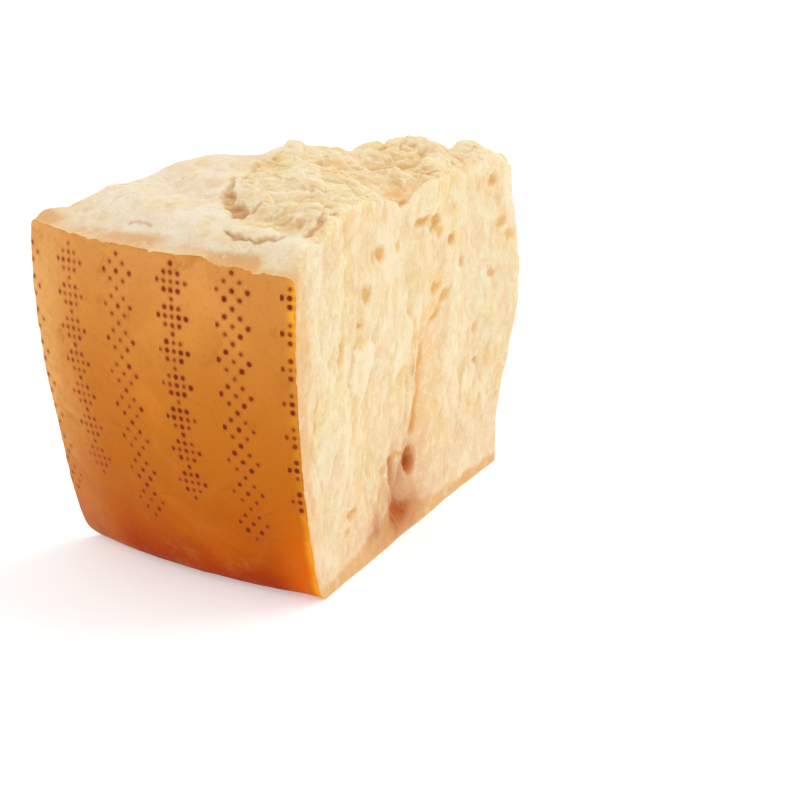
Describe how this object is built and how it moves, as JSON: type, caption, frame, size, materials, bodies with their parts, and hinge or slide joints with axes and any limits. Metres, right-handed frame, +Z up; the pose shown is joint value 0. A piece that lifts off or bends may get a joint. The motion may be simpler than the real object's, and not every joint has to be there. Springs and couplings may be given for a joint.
{
  "type": "parmesan cheese",
  "caption": "Wedge of a hard aged cheese wheel with curved rind in front, two broken cuts and a cracked, craggy top; stands on the wheel's flat face.",
  "frame": {"origin": "centre of the part's box seen from above, on the flat base it stands on", "axes": "+Z up; -Y towards the middle of the curved rind; +Y towards the thin end, where the wheel's axis was; +X to the right of the rind seen from the front"},
  "size_m": [0.109, 0.2188, 0.1346],
  "materials": {
    "paste": "matt, granular"
  },
  "bodies": {
    "root": {"cheese": "paste"}
  },
  "joints": []
}
